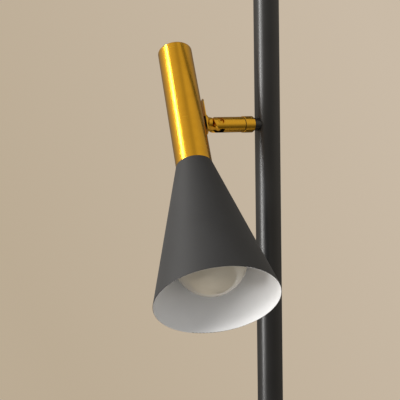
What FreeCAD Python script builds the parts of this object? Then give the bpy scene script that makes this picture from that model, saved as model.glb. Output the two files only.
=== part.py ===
# Tension pole lamp: a floor-to-ceiling pole held by a sprung plunger, with one swivelling cone lamp head.
# Millimetres. Z is up, the origin is the middle of the floor pad's underside, and the lamp arm points along -X.

import FreeCAD
import Part

import math
import os

from FreeCAD import Vector

# ---- driving dimensions: pole ----
pole_dia = 25.4
pole_wall = 1.2
lower_length = 800.0
middle_length = 900.0
upper_length = 440.0
arm_height = 1500.0

# joint pieces between two lengths of pole
coupler_collar = 3.0
coupler_shank = 25.0
coupler_spigot = 20.0
coupler_spigot_dia = 18.0
coupler_bore = 11.0

# foot and ceiling flange
floor_pad_dia = 72.0
floor_pad_height = 5.0
ceiling_pad_dia = 66.0
ceiling_pad_height = 5.0
pad_recess = 1.5
pad_rim = 2.8
flange_edge = 3.0
flange_rise = 14.0
flange_socket = 24.0
flange_floor = 6.0
socket_wall = 3.4
flange_screw_dia = 8.0
flange_screw_length = 26.0
plug_length = 20.0

# cord inlet at the back of the pole
inlet_height = 70.0
inlet_hole_dia = 9.5
inlet_bore_dia = 6.4
inlet_flange_dia = 14.0
inlet_inner_flange_dia = 12.4
inlet_flange_thick = 1.5
inlet_nose = 3.8

# telescoping tube and its clamp
telescope_dia = 22.0
telescope_wall = 1.0
telescope_length = 320.0
telescope_overlap = 150.5
slide_bush_height = 10.0
slide_bush_shank = 20.0
clamp_dia = 32.0
clamp_skirt = 22.0
clamp_head = 16.0
clamp_slot = 2.5
clamp_ear_reach = 25.0
clamp_ear_width = 17.0
clamp_ear_height = 14.0
clamp_screw_dia = 4.0
clamp_screw_head_dia = 7.0
clamp_screw_head_height = 4.0
clamp_nut_flats = 7.0
clamp_nut_height = 3.2

# sprung plunger
plunger_dia = 16.0
plunger_wall = 1.0
plunger_bush_height = 30.0
plunger_bush_lip = 4.0
plunger_bush_lip_dia = 24.0
plunger_guide_height = 20.0
plunger_guide_shank = 15.0
plunger_show = 91.5
spring_rest = 130.0
spring_wire = 2.2
spring_dia = 16.5
spring_turns = 11
seat_height = 10.0
seat_pin_dia = 3.0

# lamp arm
arm_dia = 15.3
arm_collar_dia = 16.3
arm_boss_dia = 12.5
boss_end = 18.8
arm_collar_length = 11.6
swivel_washer_thick = 0.5
swivel_washer_dia = 14.6
swivel_web = 4.0
swivel_recess_dia = 13.8
swivel_recess_depth = 1.5
swivel_pin_dia = 1.2
swivel_pin_circle = 12.2
swivel_pin_sink = 4.0
nipple_dia = 10.0
nipple_bore = 6.8
nipple_tail = 1.4
inner_nut_flats = 14.0
inner_nut_height = 3.5
saddle_washer_dia = 14.4
saddle_washer_face = 8.4
arm_socket_dia = 12.6
arm_tube_length = 22.6
arm_nut_height = 4.0
arm_spring_washer_height = 0.6
arm_spring_washer_thick = 0.4
fork_spigot_length = 9.0

# knuckle
pole_to_pivot = 59.4
fork_slot = 6.0
tongue_thick = 4.6
tongue_dia = 12.0
hinge_screw_dia = 4.0
hinge_head_dia = 7.0
hinge_head_height = 2.0
hinge_head_sink = 2.3
hinge_nut_flats = 6.9
hinge_nut_height = 2.3
hinge_washer_dia = 11.0
hinge_washer_thick = 0.6
knuckle_clear = 0.45
neck_dia = 12.0
neck_flare_dia = 15.8
neck_spigot_dia = 8.0
neck_spigot_bore = 4.4
neck_spigot_length = 9.6
neck_bore_floor = 1.0

# lamp head, measured along its own axis from the level of the pivot
pivot_to_head = 34.2
head_rise = 84.4
head_drop = 55.8
head_dia = 35.0
head_top_dia = 33.8
head_wall = 1.0
cap_height = 3.6
cap_skirt = 6.0
cap_round = 1.2
plate_gap = 1.6
plate_thick = 0.9
plate_height = 40.6
plate_lift = 4.7
plate_width = 18.4
plate_corner = 6.0
spacer_dia = 13.0
bracket_width = 12.0
bracket_thick = 1.5
bracket_rise = 9.0
bracket_drop = 28.0
bracket_ring_dia = 18.0
neck_nut_flats = 12.0
neck_nut_height = 3.4

# lampholder and bulb
holder_gap = 0.2
holder_length = 62.0
holder_dia = 30.0
holder_mouth_dia = 27.8
holder_mouth_depth = 34.0
holder_nut_height = 3.0
holder_nipple_up = 6.0
holder_nipple_down = 9.0
shell_wall = 0.4
shell_length = 30.0
bulb_cap_dia = 25.8
bulb_cap_length = 24.0
bulb_cap_wall = 0.5
bulb_neck_dia = 26.6
bulb_dia = 69.0
bulb_wall = 0.7
bulb_flank = 60.0
bulb_centre_drop = 160.5
bulb_neck_start = 92.5
contact_thick = 0.5

# shade
shade_length = 148.6
shade_neck_dia = 35.3
shade_mouth_dia = 116.6
shade_wall = 0.9
shade_spigot = 7.0

# the pose that the lamp is made in, and how far the arm swivels from there, in degrees
full_turn = 360.0
arm_roll = 36.0
head_tilt = 12.25
swivel_low_turn = -146.0
swivel_high_turn = 184.0

# internal wire
lead_dia = 3.0
lead_bend = 6.0
inlet_bend = 8.0

# named clearances
seat_gap = 0.2
press_gap = 0.03
running_gap = 0.05
thread_gap = 0.1
body_gap = 0.3
lead_gap = 0.5

# ---- places that follow from the dimensions ----
pole_r = pole_dia / 2
pole_bore_r = pole_r - pole_wall
flange_bottom = floor_pad_height - pad_recess
pole_bottom = flange_bottom + flange_floor + flange_edge
lower_top = pole_bottom + lower_length
middle_bottom = lower_top + coupler_collar
middle_top = middle_bottom + middle_length
upper_bottom = middle_top + coupler_collar
pole_top = upper_bottom + upper_length
telescope_r = telescope_dia / 2
telescope_bore_r = telescope_r - telescope_wall
telescope_bottom = pole_top - telescope_overlap
telescope_top = telescope_bottom + telescope_length
plunger_r = plunger_dia / 2
plunger_bore_r = plunger_r - plunger_wall
guide_top = telescope_top - plunger_bush_height - thread_gap
guide_bottom = guide_top - plunger_guide_height
seat_top = guide_bottom - spring_rest
ceiling_socket_bottom = telescope_top + plunger_bush_lip + plunger_show
ceiling_flange_top = ceiling_socket_bottom + flange_socket + flange_floor + flange_edge
plunger_top = ceiling_flange_top - flange_floor - flange_edge
lamp_top = ceiling_flange_top + ceiling_pad_height - pad_recess

collar_end = boss_end + arm_collar_length
washer_end = collar_end + swivel_washer_thick
arm_start = washer_end + running_gap
web_end = arm_start + swivel_web
nut_start = web_end + running_gap + arm_spring_washer_height
nut_end = nut_start + arm_nut_height
nipple_end = nut_end + nipple_tail
arm_end = arm_start + arm_tube_length
inner_nut_end = saddle_washer_face - inner_nut_height
nipple_start = inner_nut_end - lead_gap

plate_inner_r = head_dia / 2 + plate_gap
plate_outer_r = plate_inner_r + plate_thick
head_mid_r = head_top_dia / 2 + (head_dia - head_top_dia) / 2 * head_rise / (head_rise + head_drop)
bracket_face = math.sqrt((head_mid_r - head_wall) ** 2 - (bracket_width / 2) ** 2) - thread_gap
bracket_floor = -bracket_drop
holder_top = bracket_floor - bracket_thick - holder_gap
holder_mouth = holder_top - holder_length
neck_shoulder = arm_dia / 2 + knuckle_clear


# ---- shape helpers ----
def cylinder(radius, low, high):
    return Part.makeCylinder(radius, high - low, Vector(0, 0, low))


def tube(outer, inner, low, high):
    return cylinder(outer, low, high).cut(cylinder(inner, low, high))


def rod(radius, start, direction, length):
    return Part.makeCylinder(radius, length, Vector(*start), Vector(*direction))


def box(low, high):
    size = [b - a for a, b in zip(low, high)]
    return Part.makeBox(*size, Vector(*low))


def turned(outline):
    # A turned solid: the outline is (radius, height) points, and a pair of points is an arc through the first
    # of them to the second.
    def place(point):
        return Vector(point[0], 0, point[1])

    edges = []
    start = outline[0]
    for step in outline[1:] + outline[:1]:
        if isinstance(step[0], tuple):
            through, end = step
            edges.append(Part.Arc(place(start), place(through), place(end)).toShape())
        else:
            end = step
            edges.append(Part.makeLine(place(start), place(end)))
        start = end
    face = Part.Face(Part.Wire(edges))
    return face.revolve(Vector(0, 0, 0), Vector(0, 0, 1), 360)


def arc_step(centre, radius, first, last):
    # The middle and end of an arc about a centre, between two angles in degrees.
    def at(angle):
        turn = math.radians(angle)
        return (centre[0] + radius * math.cos(turn), centre[1] + radius * math.sin(turn))

    return (at((first + last) / 2), at(last))


def dome_step(radius, base, rise):
    # The middle and end of a shallow dome's outline, from its rim to the axis.
    ball = (radius ** 2 + rise ** 2) / (2 * rise)
    half = math.asin(radius / ball) / 2
    return ((ball * math.sin(half), base + rise - ball + ball * math.cos(half)), (0, base + rise))


def hexagon(flats, low, high):
    corner = flats / 2 / math.cos(math.radians(30))
    points = []
    for side in range(7):
        turn = math.radians(60 * side)
        points.append(Vector(corner * math.cos(turn), corner * math.sin(turn), low))
    return Part.Face(Part.makePolygon(points)).extrude(Vector(0, 0, high - low))


def hex_nut(flats, bore_r, low, high):
    # A hexagon nut with its corners turned down at both faces.
    corner = flats / 2 / math.cos(math.radians(30))
    bevel = corner - flats / 2
    blank = turned([
        (bore_r, low),
        (flats / 2, low),
        (corner, low + bevel / 2),
        (corner, high - bevel / 2),
        (flats / 2, high),
        (bore_r, high),
    ])
    return hexagon(flats, low, high).common(blank)


def along_arm(shape, rolled):
    # Pieces of the arm are made upright, with Z as the distance from the pole's axis, then laid along -X.
    shape = shape.copy()
    if rolled:
        shape.rotate(Vector(0, 0, 0), Vector(0, 0, 1), arm_roll)
    shape.rotate(Vector(0, 0, 0), Vector(0, 1, 0), -90)
    shape.translate(Vector(0, 0, arm_height))
    return shape


def on_head(shape):
    # Pieces of the head are made about a Z axis, with the pivot at (pivot_to_head, 0, 0) and the arm towards +X.
    shape = shape.copy()
    shape.translate(Vector(-pivot_to_head, 0, 0))
    shape.rotate(Vector(0, 0, 0), Vector(0, 1, 0), head_tilt)
    shape.rotate(Vector(0, 0, 0), Vector(1, 0, 0), -arm_roll)
    shape.translate(Vector(-pole_to_pivot, 0, arm_height))
    return shape


def bent_lead(points, bends, radius):
    # A wire's path is straight runs joined by tangent quarter turns, swept with a round section.
    edges = []
    start = Vector(*points[0])
    for index in range(1, len(points) - 1):
        corner = Vector(*points[index])
        before = (start - corner).normalize()
        after = (Vector(*points[index + 1]) - corner).normalize()
        bend = bends[index - 1]
        first = corner + before * bend
        last = corner + after * bend
        middle = corner + (before + after) * bend * (1 - math.sqrt(0.5))
        edges.append(Part.makeLine(start, first))
        edges.append(Part.Arc(first, middle, last).toShape())
        start = last
    edges.append(Part.makeLine(start, Vector(*points[-1])))
    run = (Vector(*points[1]) - Vector(*points[0])).normalize()
    section = Part.Wire(Part.makeCircle(radius, Vector(*points[0]), run))
    return Part.Wire(edges).makePipeShell([section], True, False)


# ---- foot and ceiling flange ----
def pad(diameter, height):
    # A rubber pad with a rounded tread edge, and a rim that the metal flange drops into.
    outer = diameter / 2
    edge = pad_rim / 2
    floor = height - pad_recess
    return turned([
        (0, 0),
        (outer - edge, 0),
        arc_step((outer - edge, edge), edge, -90, 0),
        (outer, height),
        (outer - pad_rim, height),
        (outer - pad_rim, floor),
        (0, floor),
    ])


def flange(pad_diameter, tube_r):
    # A dished flange that sweeps up into a socket, standing on its face at height zero.
    rim = pad_diameter / 2 - pad_rim - seat_gap
    socket_r = tube_r + seat_gap
    neck = socket_r + socket_wall
    top = flange_edge + flange_floor + flange_socket
    sweep_start = (rim, flange_edge)
    sweep_end = (neck, flange_edge + flange_rise)
    lean = ((sweep_start[0] + 3 * sweep_end[0]) / 4, (3 * sweep_start[1] + sweep_end[1]) / 4)
    screw_r = flange_screw_dia / 2 + seat_gap
    sink = screw_r + seat_gap
    chamfer = socket_wall / 3
    return turned([
        (screw_r + sink, 0),
        (rim, 0),
        sweep_start,
        (lean, sweep_end),
        (neck, top - chamfer),
        (neck - chamfer, top),
        (socket_r, top),
        (socket_r, flange_edge + flange_floor),
        (screw_r, flange_edge + flange_floor),
        (screw_r, sink),
    ])


def flange_screw():
    # A countersunk screw with a hexagon socket, its head at height zero.
    shank = flange_screw_dia / 2
    head = 2 * shank
    screw = turned([
        (0, seat_gap),
        (head, seat_gap),
        (head, 2 * seat_gap),
        (shank, shank + 2 * seat_gap),
        (shank, flange_screw_length),
        (0, flange_screw_length),
    ])
    return screw.cut(hexagon(shank, seat_gap, shank))


def threaded_plug(tube_bore_r):
    # The plug pressed into a tube's end, which the flange screw bites into.
    screw_r = flange_screw_dia / 2 + thread_gap
    return tube(tube_bore_r - press_gap, screw_r, 0, plug_length)


def lifted(shape, height):
    shape = shape.copy()
    shape.translate(Vector(0, 0, height))
    return shape


def upended(shape, height):
    shape = shape.copy()
    shape.rotate(Vector(0, 0, 0), Vector(1, 0, 0), 180)
    shape.translate(Vector(0, 0, height))
    return shape


def foot_parts():
    return {
        "floor_pad": pad(floor_pad_dia, floor_pad_height),
        "foot_flange": lifted(flange(floor_pad_dia, pole_r), flange_bottom),
        "foot_screw": lifted(flange_screw(), flange_bottom),
        "foot_plug": lifted(threaded_plug(pole_bore_r), pole_bottom),
    }


def ceiling_parts():
    return {
        "ceiling_pad": upended(pad(ceiling_pad_dia, ceiling_pad_height), lamp_top),
        "ceiling_flange": upended(flange(ceiling_pad_dia, plunger_r), ceiling_flange_top),
        "ceiling_screw": upended(flange_screw(), ceiling_flange_top),
        "plunger_plug": upended(threaded_plug(plunger_bore_r), plunger_top),
    }


# ---- pole ----
def pole_tubes():
    inlet = rod(inlet_hole_dia / 2, (0, 0, inlet_height), (1, 0, 0), pole_dia)
    arm_hole = rod(nipple_dia / 2 + thread_gap, (0, 0, arm_height), (-1, 0, 0), pole_dia)
    return {
        "pole_tube_lower": tube(pole_r, pole_bore_r, pole_bottom, lower_top).cut(inlet),
        "pole_tube_middle": tube(pole_r, pole_bore_r, middle_bottom, middle_top).cut(arm_hole),
        "pole_tube_upper": tube(pole_r, pole_bore_r, upper_bottom, pole_top),
    }


def coupler(seam):
    # A hollow coupler: a shank pressed into the length below, a flush collar and a threaded spigot above it.
    # Its collar has a fine groove at each edge, which shows as a line round the pole.
    shank_r = pole_bore_r - press_gap
    spigot_r = coupler_spigot_dia / 2
    groove = coupler_collar / 10
    top = seam + coupler_collar
    return turned([
        (coupler_bore / 2, seam - coupler_shank),
        (shank_r, seam - coupler_shank),
        (shank_r, seam),
        (pole_r - groove, seam),
        (pole_r, seam + groove),
        (pole_r, top - groove),
        (pole_r - groove, top),
        (spigot_r, top),
        (spigot_r, top + coupler_spigot),
        (coupler_bore / 2, top + coupler_spigot),
    ])


def coupler_insert(seam):
    # The threaded ring pressed into the length above, which the coupler screws into.
    bottom = seam + coupler_collar
    spigot_r = coupler_spigot_dia / 2 + thread_gap
    return tube(pole_bore_r - press_gap, spigot_r, bottom, bottom + coupler_spigot)


def coupler_parts():
    return {
        "coupler_lower": coupler(lower_top),
        "coupler_insert_lower": coupler_insert(lower_top),
        "coupler_upper": coupler(middle_top),
        "coupler_insert_upper": coupler_insert(middle_top),
    }


def cord_grommet():
    # A rubber grommet in the back of the pole: a saddle flange inside and out, a short nose and a bore.
    body_r = inlet_hole_dia / 2 - press_gap
    outer_face = pole_r + inlet_flange_thick
    inner_face = pole_bore_r - running_gap - inlet_flange_thick
    saddle = cylinder(outer_face, 0, 2 * inlet_height).cut(cylinder(pole_r + running_gap, 0, 2 * inlet_height))
    flange_rod = rod(inlet_flange_dia / 2, (inner_face, 0, inlet_height), (1, 0, 0), pole_dia)
    outside = flange_rod.common(saddle)
    inner_rod = rod(inlet_inner_flange_dia / 2, (inner_face, 0, inlet_height), (1, 0, 0), pole_dia)
    inside = inner_rod.common(cylinder(pole_bore_r - running_gap, 0, 2 * inlet_height))
    nose_length = pole_r + inlet_nose - inner_face
    body = rod(body_r, (inner_face, 0, inlet_height), (1, 0, 0), nose_length)
    bore = rod(inlet_bore_dia / 2, (0, 0, inlet_height), (1, 0, 0), pole_dia)
    return outside.fuse(inside).fuse(body).cut(bore).removeSplitter()


# ---- arm fixing at the pole ----
def boss_parts():
    nipple_r = nipple_dia / 2
    bore_r = nipple_r + thread_gap
    pole_solid = rod(pole_r + press_gap, (pole_dia, 0, 0), (-1, 0, 0), 2 * pole_dia)
    boss = tube(arm_boss_dia / 2, bore_r, 0, boss_end).cut(pole_solid)
    pole_inside = rod(pole_bore_r - press_gap, (pole_dia, 0, 0), (-1, 0, 0), 2 * pole_dia)
    saddle = tube(saddle_washer_dia / 2, bore_r, saddle_washer_face, pole_r).common(pole_inside)
    nut = hex_nut(inner_nut_flats, bore_r, inner_nut_end, saddle_washer_face)
    nipple = tube(nipple_r, nipple_bore / 2, nipple_start, nipple_end)
    edge = (arm_collar_dia - arm_boss_dia) / 4
    fine = edge / 3
    collar = turned([
        (bore_r, boss_end),
        (arm_collar_dia / 2 - edge, boss_end),
        (arm_collar_dia / 2, boss_end + edge),
        (arm_collar_dia / 2, collar_end - fine),
        (arm_collar_dia / 2 - fine, collar_end),
        (bore_r, collar_end),
    ])
    pin_r = swivel_pin_dia / 2
    pin_at = (0, swivel_pin_circle / 2, collar_end - swivel_pin_sink)
    pin_top = arm_start + swivel_recess_depth - body_gap
    pin = rod(pin_r, pin_at, (0, 0, 1), pin_top - pin_at[2])
    pin_hole = rod(pin_r + press_gap, pin_at, (0, 0, 1), pin_top)
    washer = tube(swivel_washer_dia / 2, bore_r, collar_end, washer_end)
    return {
        "arm_boss": along_arm(boss, False),
        "arm_saddle_washer": along_arm(saddle, False),
        "arm_inner_nut": along_arm(nut, False),
        "arm_nipple": along_arm(nipple, False),
        "arm_collar": along_arm(collar.cut(pin_hole), False),
        "swivel_stop_pin": along_arm(pin, False),
        "swivel_washer": along_arm(washer.cut(pin_hole), False),
        "arm_spring_washer": along_arm(spring_washer(bore_r), False),
        "arm_nut": along_arm(slotted_nut(bore_r), False),
    }


def spring_washer(bore_r):
    # A coned spring washer, which keeps the swivel stiff.
    low = web_end + running_gap
    high = nut_start
    outer = arm_socket_dia / 2 - body_gap
    thick = arm_spring_washer_thick
    return turned([
        (bore_r, high - thick),
        (outer, low),
        (outer, low + thick),
        (bore_r, high),
    ])


def slotted_nut(bore_r):
    # A round nut with two slots across its outer face, turned with a forked key.
    outer = arm_socket_dia / 2 - body_gap
    slot = arm_nut_height / 2
    nut = tube(outer, bore_r, nut_start, nut_end)
    cutter = box((-outer, -slot / 2, nut_end - slot), (outer, slot / 2, nut_end))
    return nut.cut(cutter)


# ---- swivelling arm ----
def arm_tube():
    # The web turns on the nipple. A lug left in the recess of its end face meets the stop pin.
    outer = arm_dia / 2
    bore_r = nipple_dia / 2 + running_gap
    socket_r = arm_socket_dia / 2
    recess_r = swivel_recess_dia / 2
    fine = (outer - recess_r) / 4
    blank = turned([
        (bore_r, arm_start),
        (outer - fine, arm_start),
        (outer, arm_start + fine),
        (outer, arm_end),
        (socket_r, arm_end),
        (socket_r, web_end),
        (bore_r, web_end),
    ])
    recess = cylinder(recess_r, arm_start, arm_start + swivel_recess_depth)
    return blank.cut(recess.cut(stop_lug()))


def stop_lug():
    # The pin stands a quarter turn round the arm. The lug is opposite the middle of the swivel's range, and its
    # width is what the range leaves over.
    pin_half = math.degrees(math.asin(swivel_pin_dia / swivel_pin_circle))
    margin = math.degrees(body_gap / (swivel_pin_circle / 2))
    lug_half = (full_turn - (swivel_high_turn - swivel_low_turn)) / 2 - pin_half - margin
    centre = full_turn / 4 - arm_roll + full_turn / 2 - (swivel_high_turn + swivel_low_turn) / 2
    wedge = Part.makeCylinder(arm_dia, swivel_recess_depth, Vector(0, 0, arm_start), Vector(0, 0, 1), 2 * lug_half)
    wedge.rotate(Vector(0, 0, 0), Vector(0, 0, 1), centre - lug_half)
    return wedge


def fork_end():
    # The arm's end: a spigot in the tube, two cheeks rounded about the pivot and a slot for the tongue.
    outer = arm_dia / 2
    slot_half = fork_slot / 2
    round_end = rod(outer, (0, -outer, pole_to_pivot), (0, 1, 0), arm_dia)
    straight = box((-outer, -outer, arm_end), (outer, outer, pole_to_pivot))
    side_view = straight.fuse(round_end)
    body = cylinder(outer, arm_end, pole_to_pivot + arm_dia).common(side_view)
    spigot_start = arm_end - fork_spigot_length
    body = body.fuse(cylinder(arm_socket_dia / 2 - press_gap, spigot_start, arm_end)).removeSplitter()
    tongue_room = tongue_dia / 2 + body_gap
    slot_round = rod(tongue_room, (0, -slot_half, pole_to_pivot), (0, 1, 0), fork_slot)
    slot_open = box((-arm_dia, -slot_half, pole_to_pivot), (arm_dia, slot_half, pole_to_pivot + arm_dia))
    body = body.cut(slot_open).cut(slot_round.fuse(slot_corner_relief(tongue_room, slot_half)))
    wire_hole = cylinder(neck_spigot_bore / 2, spigot_start, pole_to_pivot)
    screw_hole = rod(hinge_screw_dia / 2 + running_gap, (0, -outer, pole_to_pivot), (0, 1, 0), arm_dia)
    head_floor = outer - hinge_head_sink
    head_seat = rod(hinge_head_dia / 2 + seat_gap, (0, -outer, pole_to_pivot), (0, 1, 0), hinge_head_sink)
    nut_corner = hinge_nut_flats / 2 / math.cos(math.radians(30))
    nut_seat = rod(nut_corner + seat_gap, (0, head_floor, pole_to_pivot), (0, 1, 0), hinge_head_sink)
    return body.cut(wire_hole).cut(screw_hole).cut(head_seat).cut(nut_seat)


def slot_corner_relief(tongue_room, slot_half):
    # The slot runs straight out above and below the tongue, so that the neck can swing up and down past it.
    low = (-arm_dia, -slot_half, pole_to_pivot - 2 * tongue_room / 3)
    high = (arm_dia, slot_half, pole_to_pivot)
    return box(low, high)


def hinge_parts():
    shank_r = hinge_screw_dia / 2
    outer = arm_dia / 2
    head_low = -(outer - hinge_head_sink)
    head_top = head_low - hinge_head_height
    nut_low = outer - hinge_head_sink
    nut_top = nut_low + hinge_nut_height
    head_r = hinge_head_dia / 2
    crown = hinge_head_height / 2
    screw = turned([
        (0, nut_top),
        (shank_r, nut_top),
        (shank_r, head_low),
        (head_r, head_low),
        (head_r, head_top + crown),
        dome_step(head_r, head_top + crown, -crown),
    ])
    screw = screw.cut(hexagon(shank_r, head_top, head_top + crown))
    nut = hex_nut(hinge_nut_flats, shank_r + thread_gap, nut_low, nut_top)
    washer_r = hinge_washer_dia / 2
    washer_low = tongue_thick / 2 + running_gap
    washer_high = washer_low + hinge_washer_thick
    bore_r = shank_r + thread_gap
    front = tube(washer_r, bore_r, -washer_high, -washer_low)
    back = tube(washer_r, bore_r, washer_low, washer_high)
    return {
        "hinge_screw": along_arm(across_knuckle(screw), True),
        "hinge_nut": along_arm(across_knuckle(nut), True),
        "hinge_washers": along_arm(across_knuckle(Part.makeCompound([front, back])), True),
    }


def across_knuckle(shape):
    # A piece made about Z is laid along Y through the pivot.
    shape = shape.copy()
    shape.rotate(Vector(0, 0, 0), Vector(1, 0, 0), -90)
    shape.translate(Vector(0, 0, pole_to_pivot))
    return shape


def arm_parts():
    lead_end = pole_to_pivot - tongue_dia / 2 - body_gap
    lead = cylinder(lead_dia / 2, nipple_end + body_gap, lead_end)
    parts = {
        "arm_tube": along_arm(arm_tube(), True),
        "fork_end": along_arm(fork_end(), True),
        "arm_lead": along_arm(lead, True),
    }
    parts.update(hinge_parts())
    return parts


# ---- head: knuckle, plate and tube ----
def head_body(grow):
    # The slightly tapered outside of the head tube, grown by a clearance.
    bottom = head_dia / 2 + grow
    top = head_top_dia / 2 + grow
    return Part.makeCone(bottom, top, head_rise + head_drop, Vector(0, 0, -head_drop))


def knuckle_neck():
    # A tongue with an eye, a flared neck and a hollow threaded spigot, all one turned and milled piece.
    shoulder = pivot_to_head - neck_shoulder
    half = tongue_thick / 2
    reach = plate_outer_r - plate_thick
    neck_r = neck_dia / 2
    flare_r = neck_flare_dia / 2
    flare_length = shoulder - plate_outer_r
    profile = turned([
        (0, shoulder),
        (neck_r - seat_gap, shoulder),
        (neck_r, shoulder - seat_gap),
        (neck_r, shoulder - flare_length / 4),
        ((neck_r + (flare_r - neck_r) / 4, shoulder - 0.7 * flare_length), (flare_r, plate_outer_r)),
        (flare_r, reach - plate_thick),
        (0, reach - plate_thick),
    ])
    profile.rotate(Vector(0, 0, 0), Vector(0, 1, 0), 90)
    plate_cut = cylinder(plate_outer_r + press_gap, -plate_height, plate_height)
    neck = profile.cut(plate_cut)
    eye = rod(tongue_dia / 2, (pivot_to_head, -half, 0), (0, 1, 0), tongue_thick)
    web = box((shoulder - seat_gap, -half, -neck_r + seat_gap), (pivot_to_head, half, neck_r - seat_gap))
    spigot_end = plate_inner_r - plate_gap - neck_spigot_length
    spigot = rod(neck_spigot_dia / 2, (spigot_end, 0, 0), (1, 0, 0), shoulder - spigot_end - neck_bore_floor)
    bore = rod(neck_spigot_bore / 2, (0, 0, 0), (1, 0, 0), shoulder - neck_bore_floor)
    eye_hole = rod(hinge_screw_dia / 2 + running_gap, (pivot_to_head, -half, 0), (0, 1, 0), tongue_thick)
    whole = neck.fuse(eye).fuse(web).fuse(spigot)
    return whole.cut(bore).cut(eye_hole).removeSplitter()


def rounded_plate(width, height, corner):
    # A flat plate outline with rounded corners, in the YZ plane, pushed out along +X.
    a = width / 2
    b = height / 2
    blank = box((0, -a, -b), (pivot_to_head, a, b))
    upright = [edge for edge in blank.Edges if abs(edge.tangentAt(edge.FirstParameter).x) > 0.99]
    return blank.makeFillet(corner, upright)


def back_plate():
    # A thin plate curved about the tube. The neck passes through it below its middle.
    shell = tube(plate_outer_r, plate_inner_r, -plate_height, plate_height)
    blank = rounded_plate(plate_width, plate_height, plate_corner)
    blank.translate(Vector(0, 0, plate_lift))
    return shell.common(blank).cut(spigot_hole())


def spigot_hole():
    return rod(neck_spigot_dia / 2 + thread_gap, (0, 0, 0), (1, 0, 0), pivot_to_head)


def saddle_spacer():
    shell = cylinder(plate_inner_r - press_gap, -spacer_dia, spacer_dia).cut(head_body(press_gap))
    return shell.common(rod(spacer_dia / 2, (0, 0, 0), (1, 0, 0), pivot_to_head)).cut(spigot_hole())


def head_radius(height, inset):
    # The tube's outside radius at a height on the head's axis, less an inset.
    share = (height + head_drop) / (head_rise + head_drop)
    return head_dia / 2 + (head_top_dia - head_dia) / 2 * share - inset


def head_tube():
    seam = head_rise - cap_height
    shell = turned([
        (head_radius(-head_drop, head_wall), -head_drop),
        (head_radius(-head_drop, 0), -head_drop),
        (head_radius(seam, 0), seam),
        (head_radius(seam, head_wall), seam),
    ])
    return shell.cut(spigot_hole())


def head_cap():
    # A turned cap with a rounded edge, a shallow dome and a skirt inside the tube.
    seam = head_rise - cap_height
    outer = head_radius(head_rise, 0)
    skirt = head_radius(seam, head_wall + press_gap)
    flat = outer - cap_round
    return turned([
        (skirt - head_wall, seam - cap_skirt),
        (skirt, seam - cap_skirt),
        (skirt, seam),
        (head_radius(seam, 0), seam),
        (outer, head_rise - cap_round),
        arc_step((flat, head_rise - cap_round), cap_round, 0, 90),
        dome_step(flat, head_rise, cap_round / 3),
        (0, seam),
        (skirt - head_wall, seam),
    ])


def holder_bracket():
    # An angle of steel strip: a leg held by the neck nut and a round foot that carries the lampholder.
    half = bracket_width / 2
    inner = bracket_face - bracket_thick
    floor = bracket_floor - bracket_thick
    leg = box((inner, -half, floor), (bracket_face, half, bracket_rise))
    foot = box((0, -half, floor), (bracket_face, half, bracket_floor))
    disc = cylinder(bracket_ring_dia / 2, floor, bracket_floor)
    hole = cylinder(nipple_dia / 2 + thread_gap, floor, bracket_floor)
    bracket = leg.fuse(foot).fuse(disc).removeSplitter()
    return bracket.cut(hole).cut(spigot_hole())


def neck_nut():
    face = bracket_face - bracket_thick
    nut = hex_nut(neck_nut_flats, neck_spigot_dia / 2 + thread_gap, face - neck_nut_height, face)
    nut.rotate(Vector(0, 0, 0), Vector(0, 1, 0), 90)
    return nut


# ---- lampholder, bulb and shade ----
def holder_nipple():
    low = bracket_floor - bracket_thick - holder_nipple_down
    return tube(nipple_dia / 2, nipple_bore / 2, low, bracket_floor + holder_nipple_up)


def holder_nut():
    high = bracket_floor + holder_nut_height
    return hex_nut(inner_nut_flats, nipple_dia / 2 + thread_gap, bracket_floor, high)


def lampholder_body():
    # A glazed body: a rounded shoulder, a long skirt with a bead at the mouth, and a stepped cavity.
    outer = holder_dia / 2
    mouth_r = holder_mouth_dia / 2
    shoulder = outer / 3
    cavity = holder_mouth + holder_mouth_depth
    bore_r = nipple_dia / 2 + thread_gap
    entry = holder_top - holder_nipple_down - seat_gap
    bead = outer - mouth_r
    return turned([
        (mouth_r, holder_mouth + bead / 2),
        ((mouth_r + bead / 2, holder_mouth), (outer, holder_mouth + bead / 2)),
        (outer, holder_top - shoulder),
        arc_step((outer - shoulder, holder_top - shoulder), shoulder, 0, 90),
        (bore_r, holder_top),
        (bore_r, entry),
        (nipple_bore / 2, entry),
        (nipple_bore / 2, cavity),
        (mouth_r, cavity),
    ])


def screw_shell():
    outer = holder_mouth_dia / 2 - press_gap
    top = holder_mouth + holder_mouth_depth
    low = top - shell_length
    inner = outer - shell_wall
    lip = bulb_cap_dia / 2 - 2 * shell_wall
    return turned([
        (inner, low),
        (outer, low),
        (outer, top),
        (lip, top),
        (lip, top - shell_wall),
        (inner, top - shell_wall),
    ])


def centre_contact():
    # A sprung strip across the holder's floor, raised in the middle to meet the bulb.
    top = holder_mouth + holder_mouth_depth - shell_wall - seat_gap
    bulb_tip = bulb_contact_top()
    half = bulb_cap_dia / 8
    reach = bulb_cap_dia / 3
    tip = bulb_tip + running_gap
    points = [
        (-reach, top),
        (-reach, top - contact_thick),
        (-half, tip),
        (half, tip),
        (half, tip + contact_thick),
        (-half + contact_thick / 2, tip + contact_thick),
        (-reach + contact_thick, top),
        (-reach, top),
    ]
    outline = Part.makePolygon([Vector(x, -half, z) for x, z in points])
    return Part.Face(outline).extrude(Vector(0, 2 * half, 0))


def bulb_contact_top():
    return -bulb_neck_start + bulb_cap_length + bulb_cap_dia / 8


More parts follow.
